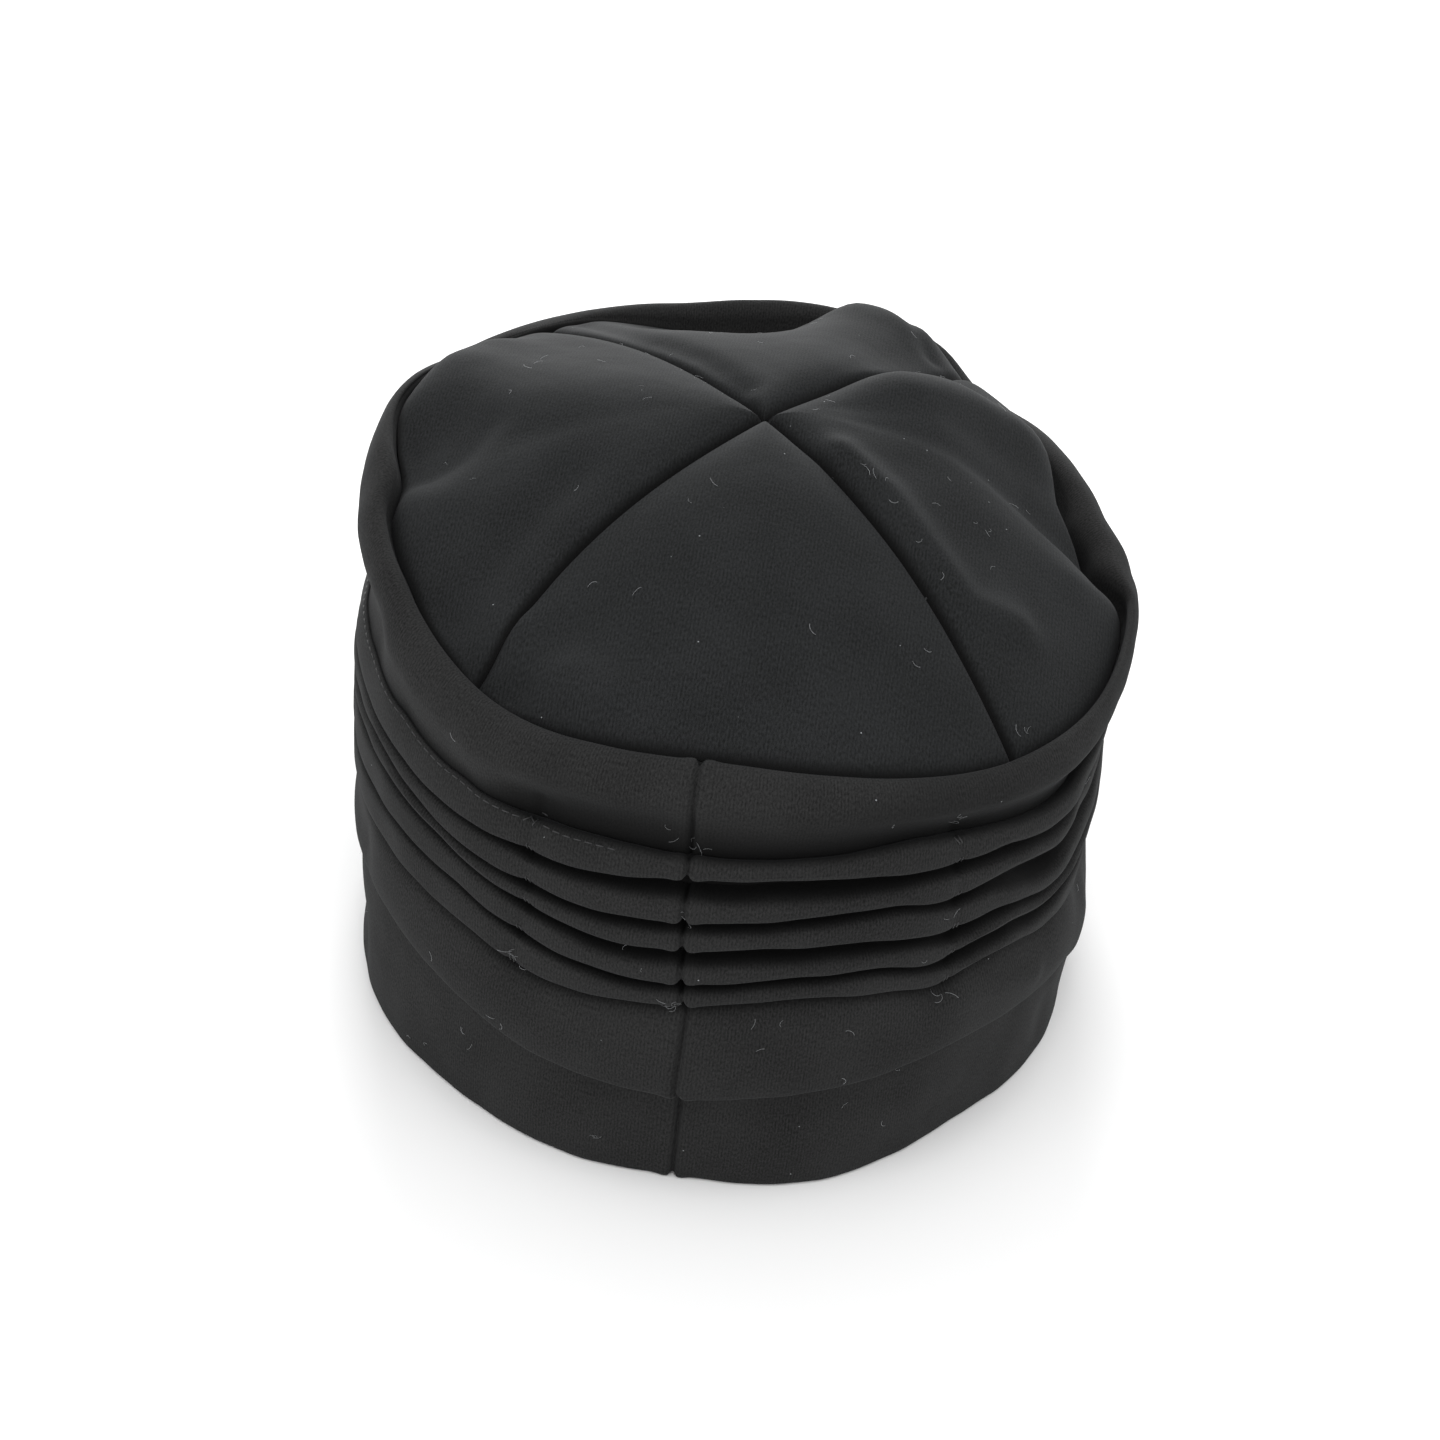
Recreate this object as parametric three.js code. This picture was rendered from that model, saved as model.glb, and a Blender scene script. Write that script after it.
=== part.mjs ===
// A soft jersey chemo cap: a hem band, a pleated band with a turned lower fold,
// a smooth crown band that rolls over at the top, and a tip of four puffed panels.
// Millimetres, +Z up. The cap stands on its hem at z = 0, with its front towards -Y
// and its centre back towards +Y. Angles run round the cap from its left side (+X)
// through the centre back (90 degrees), the right side (180) and the front (270).
import * as THREE from "three";

// ---- Driving dimensions ----
const CLOTH = 1.8; // wall of doubled jersey
const SEAM_GAP = 0.3; // clearance between two sewn pieces
const FACET_GAP = 0.45; // the same where facets of two sizes meet
const DEPTH_RATIO = 1.17; // front-to-back over side-to-side, round the head
const TIP_DEPTH_RATIO = 1.13; // the same for the rounder tip seam
const PLAN_POWER = 2.1; // 2 is an ellipse, higher is squarer
const SEGMENTS = 72; // steps round the cap

const HEM_CLOTH = 2.2; // the folded hem is a little thicker
const HEM_ROUND = 0.3; // rounding of its lower edge
const HEM_SWELL = 0.7; // how far the hem band swells between its edges
const HEM_TUCK = 8; // height of the hem band hidden behind the turned fold
const TUCK_CLEARANCE = 0.9; // how far it stays inside the turned fold there
const FOLD_ROUND = 1.5; // radius of the turned fold
const SKIRT_SWELL = 0.6; // swell of the smooth skirt over the turned fold
const PLEAT_DEPTH = 2.6; // how far the cloth dips between two pleats
const BAND_TUCK = 4; // height of the crown band hidden behind the top pleat
const LAP_STEP = 1.7; // how far the top pleat stands proud of the crown band

const APEX = { x: 2.4, y: 2.1, z: 132 }; // where the four tip panels meet
const APEX_HOLE = 0.012; // inner end of a tip panel, as a share of its length
const PUFF = 2.6; // broad swell of a tip panel between its seams
const PUFF_REACH = 0.93; // where the swell runs out, as a share of the half turn it takes
const PUFF_FULLNESS = 0.7; // under 1 keeps the swell full over more of the panel
const SEAM_DIP = 1.5; // extra dip close to a tip seam
const DIP_POWER = 8; // higher keeps the dip closer to the seam
const FORM_POWER = 8; // higher lets the tip's forms run closer to the seam round it

// Every row below has twelve stations, one each 30 degrees from the left side, through
// the back, the right side and the front.
const STATIONS = 12;
// How far out each course lies: the half width of the plan outline through it.
const REACHES = {
  //          left                  back                  right                 front
  hem:      [ 84.3, 84.8, 83.2,    83.4, 83.8, 84,       84.6, 84.2, 84,       84,   84,   84.2],
  fold:     [ 86.6, 86.4, 86,      86,   86,   86,       86.2, 86.3, 86.2,     86,   86,   86.2],
  pleats:   [ 86,   86.4, 85.8,    85.3, 85.3, 84.4,     82.6, 83.2, 84.6,     85.3, 85.5, 85.8],
  bulge:    [ 87,   86.2, 86,      84.8, 84.6, 84.8,     84.6, 83.2, 84.2,     85.4, 86,   86.4],
  tip_seam: [ 80,   79.4, 78.8,    78.7, 79,   79.8,     80,   77.2, 78.8,     78.8, 79,   79.8],
};
// How high each course lies above the hem.
const LEVELS = {
  //          left                  back                  right                 front
  fold:     [ 31,   34,   30,      27,   31,   30.5,     23,   27,   29,       30,   30,   30],
  pleat_5:  [ 51,   51,   50.5,    51,   53,   50,       48,   50,   52,       53,   52,   51],
  pleat_4:  [ 60,   60.5, 59.5,    56.5, 61,   59,       58,   59,   60,       61,   60,   60],
  pleat_3:  [ 70,   71,   67,      65,   69,   65.5,     66,   67,   68,       69,   69,   69],
  pleat_2:  [ 75,   75.5, 71,      72,   78,   75,       74,   75,   76,       77,   77,   76],
  pleat_1:  [ 82,   82,   78,      83,   85,   82.5,     81,   82,   83,       85,   84,   83],
  pleat_top: [ 89.5, 90,  86,      87.5, 91.5, 89,       88,   88,   90,       92,   92,   91],
  tip_seam: [117,   106.6, 99.6,  103.6, 99.6, 94.2,     90.4, 96.4, 104.6,   107.8, 108.8, 113],
  rim:      [119.4, 110.4, 102.2, 105,  101.2, 97.4,     96.2, 101.6, 106.4,  113,  111.8, 114.2],
};

// Shallow dents (+) and swells (-) of the side wall, all going straight in or out.
const SIDE_DENTS = [
  { angle: 13, height: 8, wide: 12, tall: 6, depth: 1.8 }, // foot of the hem, left
  { angle: 18, height: 41, wide: 16, tall: 5, depth: 1.4 }, // skirt hollow, left
  { angle: 18, height: 96, wide: 16, tall: 4, depth: 1.7 }, // above the top pleat, left
  { angle: 180, height: 39, wide: 14, tall: 7, depth: 2.4 }, // skirt hollow, right
  { angle: 173, height: 74, wide: 14, tall: 6, depth: 1.6 }, // waist of the pleats, right
  { angle: 206, height: 91, wide: 10, tall: 7, depth: 2.2 }, // crown band pulled in, right front
];

// Broad hollows (-) and ridges (+) of the tip, placed by angle and share of the way
// from the apex to the tip seam.
const TIP_FORMS = [
  { angle: 15, share: 0.86, wide: 16, long: 0.13, lift: -3.5 }, // hollow, left panel
  { angle: 36, share: 0.9, wide: 9, long: 0.12, lift: 2.0 }, // swell beside it
  { angle: 64, share: 0.9, wide: 6, long: 0.14, lift: -2.0 }, // dent by the left rear seam
  { angle: 155, share: 0.55, wide: 8, long: 0.3, lift: 1.6 }, // long ridge, right panel
  { angle: 205, share: 0.92, wide: 12, long: 0.14, lift: -2.5 }, // tuck, right panel
  { angle: 238, share: 0.62, wide: 14, long: 0.2, lift: 2.6 }, // ridge along the right front seam
  { angle: 257, share: 0.86, wide: 11, long: 0.12, lift: 5 }, // hump, front panel
  { angle: 290, share: 0.85, wide: 14, long: 0.12, lift: -2.0 }, // low side, front panel
];

// The four seams of the tip: where each meets the seam round it, and how many degrees
// it bows round the cap on its way to the apex.
const TIP_SEAMS = {
  left_rear: { angle: 52.4, bow: -3.2 },
  right_rear: { angle: 137, bow: 1 },
  right_front: { angle: 238, bow: -4 },
  left_front: { angle: 319, bow: -1 },
};
const TIP_PANELS = [
  { name: "tip_panel_back", from: TIP_SEAMS.left_rear, to: TIP_SEAMS.right_rear },
  { name: "tip_panel_right", from: TIP_SEAMS.right_rear, to: TIP_SEAMS.right_front },
  { name: "tip_panel_front", from: TIP_SEAMS.right_front, to: TIP_SEAMS.left_front },
  { name: "tip_panel_left", from: TIP_SEAMS.left_front, to: TIP_SEAMS.left_rear },
];
const PANEL_STEPS = 12; // across a tip panel
const PANEL_ROWS = 11; // from the apex to the tip seam

const PLEATS = ["pleat_5", "pleat_4", "pleat_3", "pleat_2", "pleat_1"]; // bottom to top

const jersey = (name, shade) => new THREE.MeshStandardMaterial({
  name, color: shade, roughness: 0.93, metalness: 0,
});

// ---- Small helpers ----
const radians = THREE.MathUtils.degToRad;
const lerp = THREE.MathUtils.lerp;

// A closed smooth curve through one row of station values.
function valueAt(values, angle) {
  const place = ((((angle % 360) + 360) % 360) / 360) * STATIONS;
  const first = Math.floor(place);
  const along = place - first;
  const [before, start, end, after] = [-1, 0, 1, 2].map(
    (step) => values[(first + step + STATIONS) % STATIONS],
  );
  const rise = (end - before) / 2;
  const fall = (after - start) / 2;
  const bend = 2 * (start - end) + rise + fall;
  const swing = 3 * (end - start) - 2 * rise - fall;
  return ((bend * along + swing) * along + rise) * along + start;
}

const heightAt = (course, angle) => valueAt(LEVELS[course], angle);
const reachAt = (course, angle) => valueAt(REACHES[course], angle);

function bell(distance, spread) {
  return Math.exp(-((distance / spread) ** 2) / 2);
}

// The shorter way round from one angle to another, in degrees.
function turnBetween(angle, other) {
  return ((((angle - other) % 360) + 540) % 360) - 180;
}

function sideDent(angle, height) {
  return SIDE_DENTS.reduce((sum, dent) => sum
    + dent.depth * bell(turnBetween(angle, dent.angle), dent.wide)
    * bell(height - dent.height, dent.tall), 0);
}

// A point of the plan outline: a rounded ellipse of the given half width.
function planPoint(reach, ratio, angle) {
  const power = 2 / PLAN_POWER;
  const across = Math.cos(radians(angle));
  const back = Math.sin(radians(angle));
  return {
    x: reach * Math.sign(across) * Math.abs(across) ** power,
    y: reach * ratio * Math.sign(back) * Math.abs(back) ** power,
  };
}

// Sweeps a closed section once round the cap. sectionAt(angle) gives the section as
// rows { reach, height, ratio, dentAt }, up the outside and down the inside. dentAt is
// the height that a row takes its dents from, where that isn't its own.
function sweepRound(sectionAt) {
  const positions = [];
  const indices = [];
  let rows = 0;
  for (let step = 0; step < SEGMENTS; step += 1) {
    const angle = (step / SEGMENTS) * 360;
    const section = sectionAt(angle);
    rows = section.length;
    for (const { reach, height, ratio = DEPTH_RATIO, dentAt = height } of section) {
      const { x, y } = planPoint(reach - sideDent(angle, dentAt), ratio, angle);
      positions.push(x, y, height);
    }
  }
  for (let step = 0; step < SEGMENTS; step += 1) {
    const here = step * rows;
    const next = ((step + 1) % SEGMENTS) * rows;
    for (let row = 0; row < rows; row += 1) {
      const up = (row + 1) % rows;
      indices.push(here + row, next + row, next + up);
      indices.push(here + row, next + up, here + up);
    }
  }
  return meshGeometry(positions, indices);
}

function meshGeometry(positions, indices) {
  const geometry = new THREE.BufferGeometry();
  geometry.setAttribute("position", new THREE.Float32BufferAttribute(positions, 3));
  geometry.setIndex(indices);
  geometry.computeVertexNormals();
  return geometry;
}

// ---- Side pieces ----

// The hem band: a plain doubled strip with a flat lower edge, going up behind the fold.
function hemBandSection(angle) {
  const top = heightAt("fold", angle) + HEM_TUCK;
  const outside = reachAt("hem", angle);
  const inside = outside - HEM_CLOTH;
  const tucked = reachAt("fold", angle) - CLOTH - TUCK_CLEARANCE;
  return [
    { reach: outside - HEM_ROUND, height: 0 },
    { reach: outside, height: HEM_ROUND },
    { reach: outside + HEM_SWELL, height: top * 0.35 },
    { reach: tucked, height: top - HEM_TUCK - 2 },
    { reach: tucked, height: top },
    { reach: tucked - CLOTH, height: top },
    { reach: inside + HEM_SWELL, height: top * 0.35 },
    { reach: inside, height: HEM_ROUND },
    { reach: inside + HEM_ROUND, height: 0 },
  ];
}

// One pleat seen in section: rounded lower edge, full face, and the dip above it.
function pleatRows(reach, low, high) {
  const rise = high - low;
  const face = reach + 0.3;
  return [
    { reach: reach - 0.3, height: low + 0.5 },
    { reach: face, height: low + Math.min(2, rise * 0.3) },
    { reach: face - 0.5, height: low + rise * 0.65 },
    { reach: reach - PLEAT_DEPTH, height: high - 0.2 },
  ];
}

// The pleated band: the turned fold, the smooth skirt and five pleats, with an inner
// face that follows the dips and rolls at the thickness of the cloth.
function pleatedBandSection(angle) {
  const fold = heightAt("fold", angle);
  const lows = PLEATS.map((name) => heightAt(name, angle));
  const top = heightAt("pleat_top", angle);
  const highs = [...lows.slice(1), top];
  const skirt = lows[0] - fold;
  const foldReach = reachAt("fold", angle);
  const pleatReach = reachAt("pleats", angle);
  const outside = [
    { reach: foldReach - 1.2, height: fold },
    { reach: foldReach, height: fold + FOLD_ROUND },
    { reach: foldReach + SKIRT_SWELL, height: fold + skirt * 0.4 },
    { reach: lerp(foldReach, pleatReach, 0.6), height: fold + skirt * 0.78 },
    { reach: pleatReach - PLEAT_DEPTH, height: lows[0] - 0.2 },
  ];
  lows.forEach((low, index) => outside.push(...pleatRows(pleatReach, low, highs[index])));
  const lip = { height: top - 0.2, dentAt: top };
  outside[outside.length - 1] = { reach: pleatReach - 0.1, ...lip };
  const inside = [{ reach: pleatReach - LAP_STEP, ...lip }];
  for (let index = lows.length - 1; index >= 0; index -= 1) {
    inside.push({ reach: pleatReach - CLOTH, height: lerp(lows[index], highs[index], 0.5) });
    inside.push({ reach: pleatReach - PLEAT_DEPTH - CLOTH + 0.2, height: lows[index] });
  }
  inside.push({ reach: foldReach + SKIRT_SWELL - CLOTH, height: fold + skirt * 0.4 });
  inside.push({ reach: foldReach - CLOTH, height: fold + FOLD_ROUND });
  return [...outside, ...inside];
}

// The crown band: behind the top pleat, out into a bulge, up over a soft rim and down
// to the seam round the tip.
function crownBandSection(angle) {
  const lap = heightAt("pleat_top", angle);
  const seam = heightAt("tip_seam", angle);
  const rim = heightAt("rim", angle);
  const tall = rim - lap;
  const bulge = reachAt("bulge", angle);
  const tip = reachAt("tip_seam", angle);
  const tucked = reachAt("pleats", angle) - LAP_STEP - 2 * SEAM_GAP;
  const foot = reachAt("pleats", angle) - PLEAT_DEPTH - CLOTH - 2 * SEAM_GAP;
  const shelf = { ratio: TIP_DEPTH_RATIO, dentAt: seam };
  return [
    { reach: foot, height: lap - BAND_TUCK },
    { reach: tucked, height: lap - 0.2, dentAt: lap },
    { reach: lerp(tucked, bulge, 0.6), height: lap + tall * 0.22 },
    { reach: bulge, height: lap + tall * 0.5 },
    { reach: lerp(bulge, tip, 0.14), height: lap + tall * 0.76, ratio: 1.165 },
    { reach: lerp(bulge, tip, 0.42), height: rim - tall * 0.05, ratio: 1.155 },
    { reach: lerp(bulge, tip, 0.68), height: rim, ratio: 1.145 },
    { reach: lerp(bulge, tip, 0.88), height: lerp(rim, seam, 0.4), ratio: 1.135, dentAt: seam },
    { reach: tip + FACET_GAP, height: seam, ...shelf },
    { reach: tip + FACET_GAP, height: seam - CLOTH, ...shelf },
    { reach: lerp(bulge, tip, 0.62), height: lerp(rim, seam, 0.5) - CLOTH, ratio: 1.145 },
    { reach: lerp(bulge, tip, 0.3) - 0.8, height: rim - tall * 0.2, ratio: 1.16 },
    { reach: bulge - CLOTH, height: lap + tall * 0.5 },
    { reach: lerp(tucked, bulge, 0.5) - CLOTH, height: lap + tall * 0.2 },
    { reach: tucked - CLOTH, height: lap - 0.6 },
    { reach: foot - CLOTH, height: lap - BAND_TUCK },
  ];
}

// ---- The tip ----

// A point of the seam round the tip, in plan.
function tipEdge(angle) {
  const dent = sideDent(angle, heightAt("tip_seam", angle));
  return planPoint(reachAt("tip_seam", angle) - dent, TIP_DEPTH_RATIO, angle);
}

// A point of the tip's outer surface, by its angle and its share of the way out from
// the apex, with across running from -1 to 1 between the panel's two seams.
function tipPoint(angle, share, across) {
  const seam = heightAt("tip_seam", angle);
  const edge = tipEdge(angle);
  const rounded = 1 - share ** 2;
  const swell = Math.sin(Math.PI * Math.min(1, share ** 0.8 * PUFF_REACH)) ** PUFF_FULLNESS;
  const puff = PUFF * (1 - across ** 2) * swell;
  const dip = SEAM_DIP * Math.abs(across) ** DIP_POWER * Math.min(1, share * 4)
    * (1 - share ** 6);
  const forms = TIP_FORMS.reduce((sum, form) => sum
    + form.lift * bell(turnBetween(angle, form.angle), form.wide)
    * bell(share - form.share, form.long), 0) * (1 - share ** FORM_POWER);
  return new THREE.Vector3(
    lerp(APEX.x, edge.x, share),
    lerp(APEX.y, edge.y, share),
    seam + (APEX.z - seam) * rounded + puff - dip + forms,
  );
}

// One tip panel: a puffed wall of cloth between two seams, closed all round its edge.
function tipPanelGeometry(from, to) {
  const positions = [];
  const indices = [];
  const columns = PANEL_STEPS + 1;
  const layerSize = columns * (PANEL_ROWS + 1);
  const outer = [];
  for (let row = 0; row <= PANEL_ROWS; row += 1) {
    const share = lerp(APEX_HOLE, 1, 1 - (1 - row / PANEL_ROWS) ** 1.35);
    for (let step = 0; step <= PANEL_STEPS; step += 1) {
      const across = Math.sin((step / PANEL_STEPS - 0.5) * Math.PI);
      const start = from.angle + from.bow * Math.sin(Math.PI * share);
      const end = to.angle + to.bow * Math.sin(Math.PI * share);
      const angle = lerp(start, end + (to.angle < from.angle ? 360 : 0), (across + 1) / 2);
      outer.push(tipPoint(angle, share, across).add(seamShift(angle, across)));
    }
  }
  for (const point of outer) positions.push(point.x, point.y, point.z);
  for (const point of outer) positions.push(point.x, point.y, point.z - CLOTH);
  const at = (layer, row, step) => layer * layerSize + row * columns + step;
  for (let row = 0; row < PANEL_ROWS; row += 1) {
    for (let step = 0; step < PANEL_STEPS; step += 1) {
      quad(indices, at(0, row, step), at(0, row + 1, step), at(0, row + 1, step + 1), at(0, row, step + 1));
      quad(indices, at(1, row, step), at(1, row, step + 1), at(1, row + 1, step + 1), at(1, row + 1, step));
    }
  }
  for (let row = 0; row < PANEL_ROWS; row += 1) {
    quad(indices, at(0, row, 0), at(1, row, 0), at(1, row + 1, 0), at(0, row + 1, 0));
    quad(indices, at(0, row + 1, PANEL_STEPS), at(1, row + 1, PANEL_STEPS),
      at(1, row, PANEL_STEPS), at(0, row, PANEL_STEPS));
  }
  for (let step = 0; step < PANEL_STEPS; step += 1) {
    quad(indices, at(0, 0, step + 1), at(1, 0, step + 1), at(1, 0, step), at(0, 0, step));
    quad(indices, at(0, PANEL_ROWS, step), at(1, PANEL_ROWS, step),
      at(1, PANEL_ROWS, step + 1), at(0, PANEL_ROWS, step + 1));
  }
  return meshGeometry(positions, indices);
}

function quad(indices, a, b, c, d) {
  indices.push(a, b, c, a, c, d);
}

// Moves a panel's point sideways, away from its nearer seam, so that two neighbours
// keep half the seam gap each.
function seamShift(angle, across) {
  const edge = tipEdge(angle);
  const outward = new THREE.Vector3(edge.x - APEX.x, edge.y - APEX.y, 0).normalize();
  const sideways = new THREE.Vector3(-outward.y, outward.x, 0);
  return sideways.multiplyScalar(-across * (SEAM_GAP / 2));
}

// ---- Assembly ----
function piece(name, geometry, shade) {
  const mesh = new THREE.Mesh(geometry, jersey(`${name}_jersey`, shade));
  mesh.name = name;
  return mesh;
}

const cap = new THREE.Group();
cap.name = "chemo_cap";
cap.add(piece("hem_band", sweepRound(hemBandSection), 0x2b2d2e));
cap.add(piece("pleated_band", sweepRound(pleatedBandSection), 0x282a2b));
cap.add(piece("crown_band", sweepRound(crownBandSection), 0x292b2c));
for (const { name, from, to } of TIP_PANELS) {
  cap.add(piece(name, tipPanelGeometry(from, to), 0x2a2c2d));
}

export default cap;
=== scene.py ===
"""A black jersey chemo cap, standing on its hem: a hem band, a pleated band with a turned
lower fold, a crown band that rolls over at the top, and a tip of four puffed panels.

Lengths are millimetres until a mesh is made, +Z up, the front towards -Y and the centre
back towards +Y. Angles run round the cap from its left side (+X) through the centre back
(90 degrees), the right side (180) and the front (270).
"""
import math
import random

import bmesh
import bpy
import numpy as np
from mathutils import Matrix, Vector
from mathutils.bvhtree import BVHTree


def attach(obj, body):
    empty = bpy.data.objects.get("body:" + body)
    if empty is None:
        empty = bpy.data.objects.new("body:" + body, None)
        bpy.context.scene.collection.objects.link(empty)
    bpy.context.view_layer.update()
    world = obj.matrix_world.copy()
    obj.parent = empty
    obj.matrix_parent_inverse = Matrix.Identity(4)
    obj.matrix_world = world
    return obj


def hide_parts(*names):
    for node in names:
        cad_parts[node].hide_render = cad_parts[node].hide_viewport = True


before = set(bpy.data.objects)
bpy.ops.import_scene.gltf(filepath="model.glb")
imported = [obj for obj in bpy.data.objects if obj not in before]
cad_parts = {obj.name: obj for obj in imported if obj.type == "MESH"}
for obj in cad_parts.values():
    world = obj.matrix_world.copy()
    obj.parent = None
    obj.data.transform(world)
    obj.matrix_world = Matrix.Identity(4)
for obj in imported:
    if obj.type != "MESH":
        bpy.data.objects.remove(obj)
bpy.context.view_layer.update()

MM = 0.001

# ---- Cloth and plan ----
CLOTH = 1.6  # wall of doubled jersey
DEPTH_RATIO = 1.17  # front-to-back over side-to-side, round the head
TIP_DEPTH_RATIO = 1.13  # the same for the rounder tip seam
PLAN_POWER = 2.1  # 2 is an ellipse, higher is squarer
ARC_PER_DEGREE = 1.49  # millimetres round the cap for each degree
ROUND_LENGTH = 0.585  # metres once round the cap
CLOSING_ROW = 0.002  # metres of cloth from a wall's last row back to its first

# ---- Columns round the cap, in degrees ----
FRONT_STEP = 1.2
BACK_STEP = 0.6
SEAM_STEP = 0.16
STEP_GROWTH = 0.25  # how fast the steps widen beside the seam, for each degree away from it
FRONT_ARC = (222, 342)
SEAM_ARC = (88.4, 92.6)

# Every curve below is a list of (angle, millimetres) pairs and runs smoothly and closed
# round the cap.
REACHES = {  # half widths of the plan outline
    "hem": [(0, 84.2), (15, 84.7), (30, 85), (40, 84.6), (50, 83.5), (62, 82.9), (78, 83.4),
            (91, 82.5), (102, 83.4), (114, 83.8), (127, 82.2), (137, 81.6), (148, 83.2), (160, 85),
            (180, 84.4), (210, 84.2), (240, 84), (270, 84), (300, 84), (330, 84.1)],
    "fold": [(0, 86.6), (30, 86.4), (60, 86), (90, 86), (120, 86), (150, 86), (180, 86.3),
             (210, 86.3), (240, 86.2), (270, 86), (300, 86), (330, 86.2)],
    "pleats": [(0, 86), (30, 86.4), (60, 85.8), (90, 85.3), (120, 85.3), (150, 84.4), (180, 82.4),
               (210, 83.2), (240, 84.6), (270, 85.3), (300, 85.5), (330, 85.8)],
    "bulge": [(0, 87.2), (18, 86.8), (30, 86.2), (60, 85.6), (90, 84.2), (120, 84.2), (150, 84.6),
              (168, 83.8), (182, 84.8), (192, 85.2), (200, 84.4), (210, 83), (225, 83.6),
              (240, 84.2), (270, 85.4), (300, 86), (330, 86.2), (348, 87)],
    "tip_seam": [(0, 81.6), (6, 79.8), (13, 77.6), (19, 79.8), (25, 80), (36, 79.2), (60, 78.8),
                 (90, 78.7), (120, 79), (150, 79.8), (172, 80.4), (179, 81), (183.6, 80.6),
                 (187, 77.2), (190, 75.2), (195, 74.6), (204, 74), (214, 74.4), (226, 77),
                 (240, 78.2), (270, 78.8), (300, 79), (330, 79.6), (348, 81.2)],
}
LEVELS = {  # heights above the hem
    "fold": [(0, 31), (20, 32.6), (40, 34.9), (57, 31.8), (68, 28.4), (80, 26.8), (90, 26.4),
             (104, 28.2), (118, 30.6), (133, 32.8), (148, 30.4), (164, 26), (180, 23), (210, 27),
             (240, 29), (270, 30), (300, 30), (330, 30)],
    "pleat_5": [(0, 51), (25, 51.4), (42, 52.4), (57, 51.4), (68, 48.6), (80, 48.4), (92, 51.2),
                (107, 54.5), (118, 53.2), (126, 50.8), (131, 52.3), (137, 52), (148, 47.3),
                (157, 46), (168, 46), (182, 47.6), (210, 50), (240, 52), (270, 53), (300, 52),
                (330, 51)],
    "pleat_4": [(0, 60), (30, 61), (44, 61.5), (57, 60.3), (68, 57.4), (81, 55.4), (92, 56.7),
                (106, 60.3), (115, 60.4), (126, 57.5), (131, 59.5), (137, 59), (148, 55.6),
                (157, 55.2), (168, 56), (182, 57.6), (210, 59), (240, 60), (270, 61), (300, 60),
                (330, 60)],
    "pleat_3": [(0, 70), (30, 71), (44, 70.2), (55, 68.2), (66, 65.6), (80, 63.6), (91, 65),
                (101, 67.5), (112, 68), (126, 65.2), (133, 65.6), (140, 63.3), (147, 60.2),
                (155, 60.2), (167, 62.6), (182, 65.2), (210, 67), (240, 68), (270, 69), (300, 69),
                (330, 69)],
    "pleat_2": [(0, 75), (28, 75.6), (38, 75.8), (50, 72.4), (65, 70.4), (80, 70.4), (91, 72),
                (105, 75.4), (116, 76), (126, 73.7), (134, 74.9), (149, 71), (160, 70.2),
                (182, 72.6), (210, 75), (240, 76), (270, 77), (300, 77), (330, 76)],
    "pleat_1": [(0, 82), (26, 82.2), (40, 79.8), (52, 78), (64, 78), (78, 79.4), (91, 82.8),
                (102, 84.6), (118, 83.8), (127, 82.5), (132, 82.7), (142, 79.4), (152, 77),
                (162, 76.4), (182, 79), (210, 82), (240, 83), (270, 85), (300, 84), (330, 83)],
    "pleat_top": [(0, 89.5), (22, 90.8), (38, 90), (50, 86.8), (62, 85.7), (76, 86.3), (90, 86.9),
                  (104, 88.3), (119, 90.3), (131, 87.8), (142, 84.2), (152, 82.9), (162, 83.4),
                  (182, 86), (210, 88), (240, 90), (270, 92), (300, 92), (330, 91)],
    "tip_seam": [(0, 117.6), (10, 113.6), (18, 110), (36, 105.5), (46, 102.4), (54, 99.8),
                 (66, 99.8), (78, 102), (91, 103.8), (104, 102.8), (118, 100), (132, 96.6),
                 (146, 94.6), (162, 92), (178, 91.2), (190, 91), (197, 92.2), (205, 94.6),
                 (212, 99), (220, 102.6), (232, 103.6), (240, 105), (250, 109.6), (261, 110.6),
                 (270, 107.6), (277, 105), (284, 104.2), (292, 105.8), (300, 108.6), (309, 111.6),
                 (320, 113.2), (332, 113.8), (340, 115.2), (350, 117.8)],
    "rim": [(0, 119.2), (8, 118.6), (18, 115.2), (36, 108.8), (48, 104.4), (60, 102.2), (78, 103.4),
            (91, 105), (104, 103.8), (118, 101.2), (132, 98.6), (146, 97.4), (162, 96.2),
            (178, 96.2), (190, 98.2), (200, 100.6), (212, 102.8), (222, 103.6), (232, 102.8),
            (239, 103.8), (246, 110.2), (252, 112.4), (261, 113), (270, 113.4), (280, 112.4),
            (290, 111.2), (300, 111.8), (312, 112.6), (326, 113.8), (340, 115.2), (350, 118.4)],
}
PLEATS = ["pleat_5", "pleat_4", "pleat_3", "pleat_2", "pleat_1"]  # bottom to top

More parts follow.
